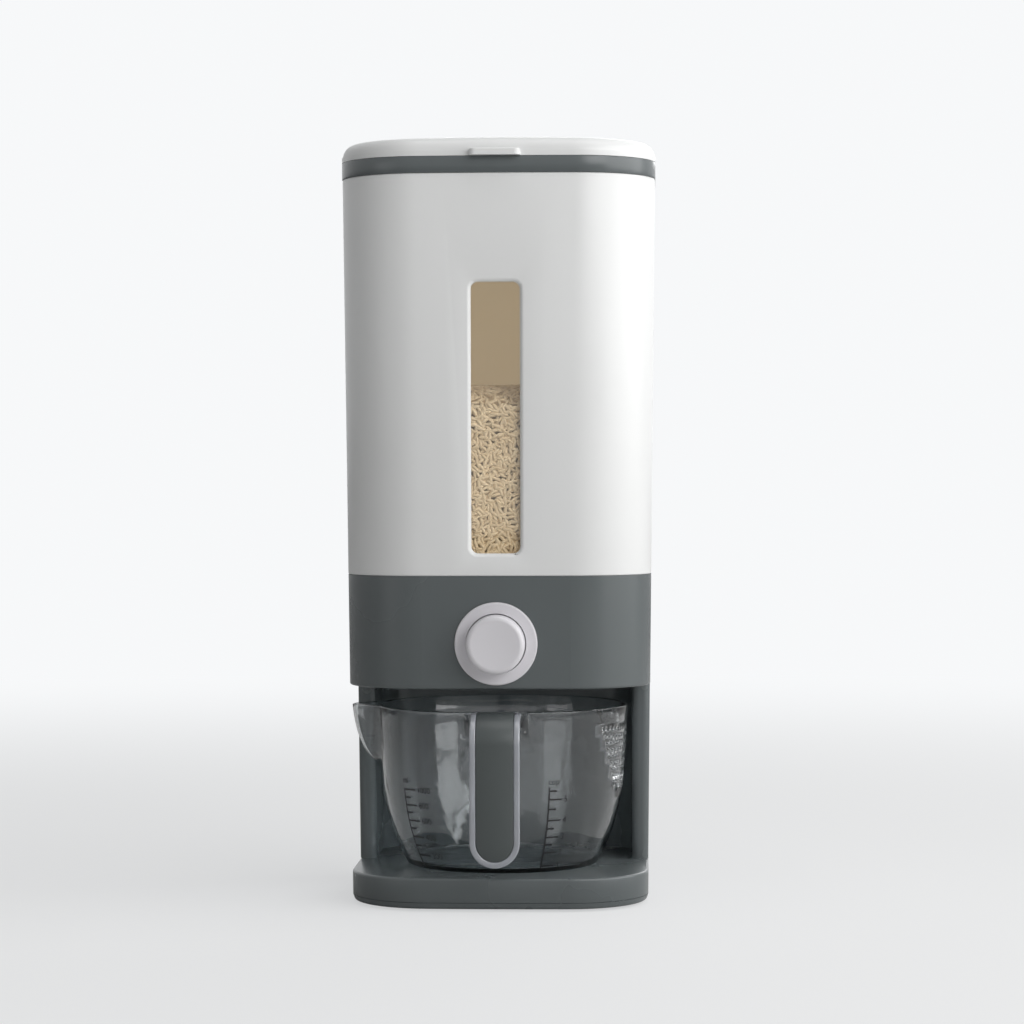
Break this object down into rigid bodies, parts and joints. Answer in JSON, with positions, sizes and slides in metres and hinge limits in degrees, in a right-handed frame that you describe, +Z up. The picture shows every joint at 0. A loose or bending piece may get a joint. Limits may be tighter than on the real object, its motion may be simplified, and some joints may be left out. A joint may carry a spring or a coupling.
{
  "type": "rice dispenser",
  "caption": "Tall tapered grain dispenser with a hinged lid, a level window, a push-button gate and a clear measuring jug that slides out of the bay below.",
  "frame": {"origin": "centre of the whole footprint (handle and hinge included), on the table plane", "axes": "+Z up, +X to the user's right when facing the front, -Y towards the user"},
  "size_m": [0.2008, 0.2324, 0.4874],
  "materials": {
    "white_plastic": "satin",
    "grey_plastic": "satin",
    "grip_plastic": "satin",
    "clear_plastic": "clear, polished",
    "pane_plastic": "clear, polished",
    "inner_plastic": "satin",
    "silicone": "soft",
    "black_rubber": "matte",
    "steel": "plain"
  },
  "bodies": {
    "stand": {"feet": "black_rubber", "bottom_cover": "grey_plastic", "cover_screws": "steel", "base_tray": "grey_plastic", "base_screws": "steel", "housing": "grey_plastic", "bucket": "white_plastic", "window_seal": "silicone", "window_pane": "pane_plastic", "hopper_funnel": "inner_plastic", "gate_guide": "inner_plastic", "outlet_chute": "inner_plastic", "chute_screws": "steel", "button_ring": "white_plastic", "button_spring": "steel", "collar": "grey_plastic", "hinge_pin": "steel"},
    "lid": {"lid_cover": "white_plastic", "lid_seal": "silicone"},
    "button": {"button_cap": "white_plastic", "push_rod": "inner_plastic", "link_pin": "steel", "gate_slide": "inner_plastic"},
    "jug": {"jug_body": "clear_plastic", "jug_handle": "clear_plastic", "handle_grip": "grip_plastic"}
  },
  "joints": [
    {"name": "lid_hinge", "type": "hinge", "parent": "stand", "child": "lid", "pos_m": [0, 0.1122, 0.4736], "axis": [-1, 0, 0], "range_deg": [0, 105]},
    {"name": "button_press", "type": "slide", "parent": "stand", "child": "button", "axis": [0, 1, 0], "range_m": [0, 0.013], "stiffness_N_per_m": 250, "springref_m": -0.012, "deforming": ["button_spring"]},
    {"name": "jug_slide", "type": "slide", "parent": "stand", "child": "jug", "axis": [0, -1, 0], "range_m": [0, 0.22]}
  ]
}
